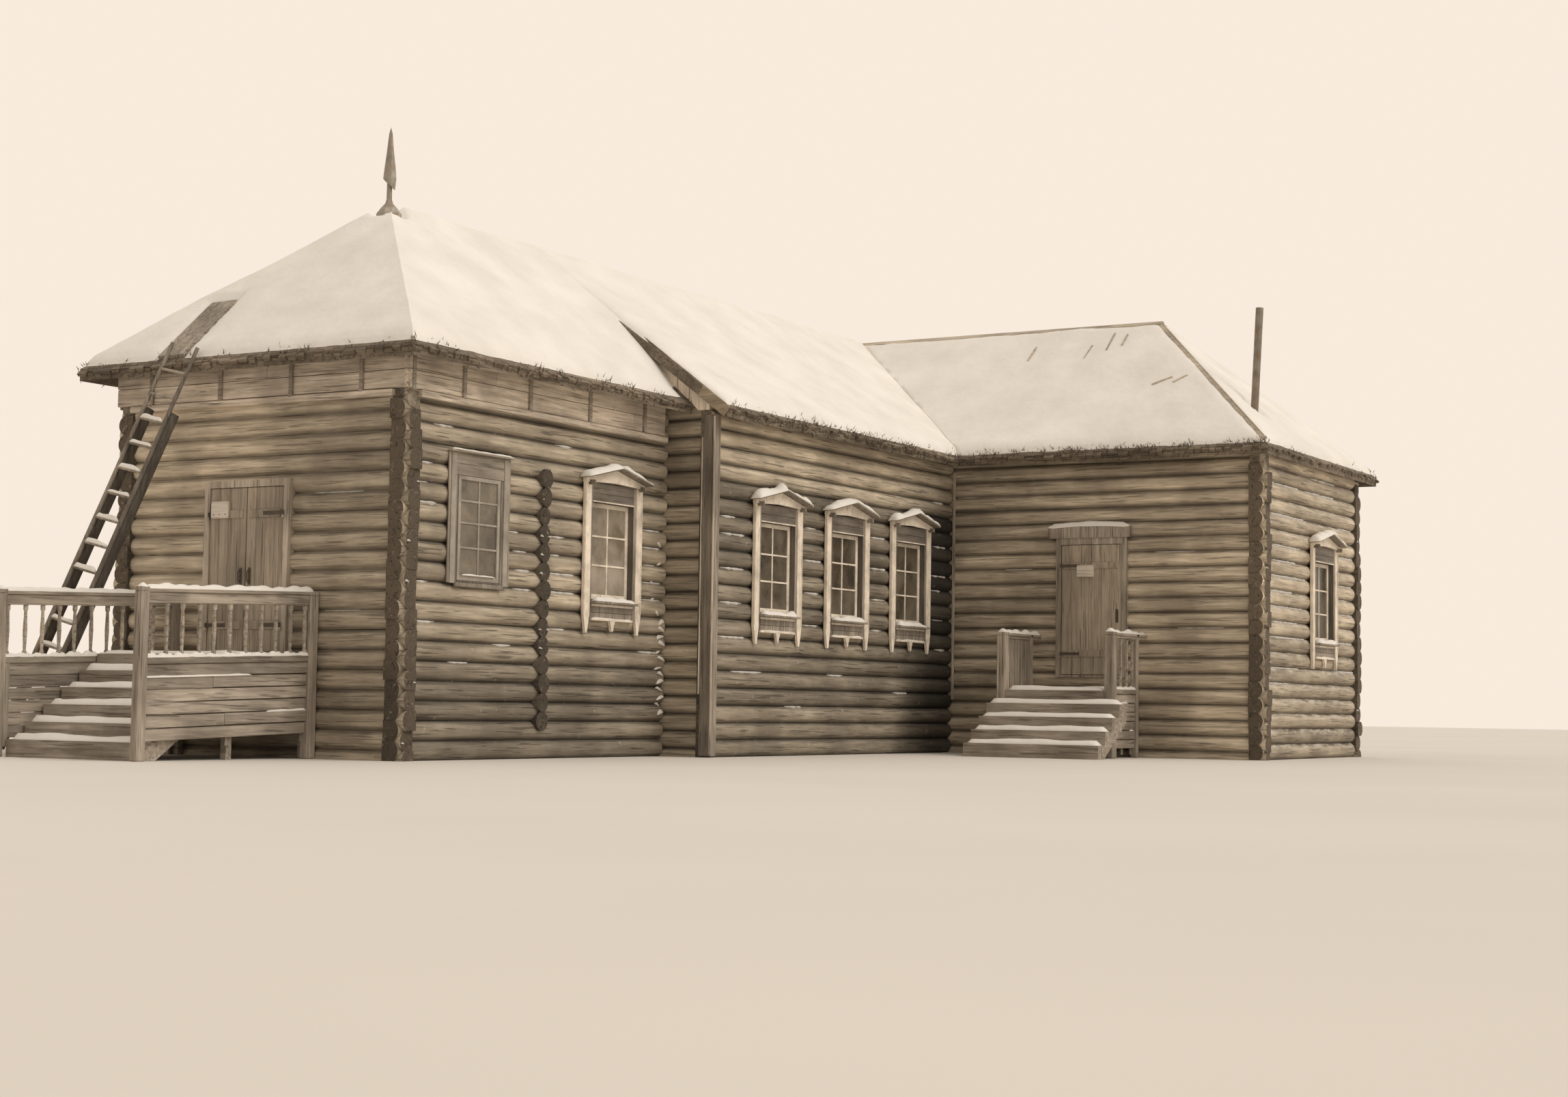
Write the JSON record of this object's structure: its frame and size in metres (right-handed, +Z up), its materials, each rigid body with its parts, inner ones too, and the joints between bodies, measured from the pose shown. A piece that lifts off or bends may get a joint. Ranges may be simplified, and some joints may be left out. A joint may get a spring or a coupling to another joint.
{
  "type": "log church building",
  "caption": "Single-storey log church with a hip-ended west block, wider nave and transverse wing, hooded windows, hinged doors, porches, ladder, finial and stovepipe.",
  "frame": {"origin": "ground level at the crossing of the wall centre lines at the south-west corner of the west block", "axes": "+X along the church from the west door to the far wing, +Y to the north, +Z up"},
  "size_m": [22.22, 18, 8.73],
  "materials": {
    "logs": "weathered, rough",
    "roof_boards": "weathered, rough",
    "weathered_boards": "weathered, rough",
    "window_joinery": "worn pale paint",
    "door_leaf": "worn",
    "glass": "frosted by cold",
    "sheet_metal": "dull, weathered"
  },
  "bodies": {
    "building": {"finial": "sheet_metal", "ladder": "weathered_boards", "nave_east_window_north": "window_joinery", "nave_east_window_south": "window_joinery", "nave_floor": "weathered_boards", "nave_gable": "weathered_boards", "nave_glass_north": "glass", "nave_glass_south": "glass", "nave_middle_window_north": "window_joinery", "nave_middle_window_south": "window_joinery", "nave_north_return_wall": "logs", "nave_north_wall": "logs", "nave_roof": "roof_boards", "nave_south_return_wall": "logs", "nave_south_wall": "logs", "nave_west_window_north": "window_joinery", "nave_west_window_south": "window_joinery", "porch_north_panel": "weathered_boards", "porch_south_panel": "weathered_boards", "porch_steps": "weathered_boards", "roof_walk": "weathered_boards", "stoop_north_panel": "weathered_boards", "stoop_south_panel": "weathered_boards", "stoop_steps": "weathered_boards", "stovepipe": "sheet_metal", "west_block_floor": "weathered_boards", "west_block_glass_north": "glass", "west_block_glass_south": "glass", "west_block_hood_window_north": "window_joinery", "west_block_hood_window_south": "window_joinery", "west_block_north_wall": "logs", "west_block_plain_window_north": "window_joinery", "west_block_plain_window_south": "window_joinery", "west_block_roof": "roof_boards", "west_block_south_wall": "logs", "west_door_frame": "weathered_boards", "west_wall_north_of_door": "logs", "west_wall_over_door": "logs", "west_wall_south_of_door": "logs", "west_wall_under_door": "logs", "wing_door_frame": "weathered_boards", "wing_floor": "weathered_boards", "wing_front_wall_corner": "logs", "wing_front_wall_inner": "logs", "wing_front_wall_north": "logs", "wing_front_wall_over_door": "logs", "wing_front_wall_under_door": "logs", "wing_glass_north": "glass", "wing_glass_south": "glass", "wing_north_wall": "logs", "wing_rear_wall": "logs", "wing_roof": "roof_boards", "wing_south_wall": "logs", "wing_window_north": "window_joinery", "wing_window_south": "window_joinery"},
    "west_leaf_south": {"west_door_leaf_south": "door_leaf"},
    "west_leaf_north": {"west_door_leaf_north": "door_leaf"},
    "wing_leaf": {"wing_door_leaf": "door_leaf"}
  },
  "joints": [
    {"name": "west_door_south_hinge", "type": "hinge", "parent": "building", "child": "west_leaf_south", "pos_m": [-0.182, 1.8335, 2.4], "axis": [0, 0, 1], "range_deg": [0, 110]},
    {"name": "west_door_north_hinge", "type": "hinge", "parent": "building", "child": "west_leaf_north", "pos_m": [-0.182, 3.1065, 2.4], "axis": [0, 0, -1], "range_deg": [0, 110]},
    {"name": "wing_door_hinge", "type": "hinge", "parent": "building", "child": "wing_leaf", "pos_m": [13.468, -2.9635, 2.4], "axis": [0, 0, -1], "range_deg": [0, 100]}
  ]
}
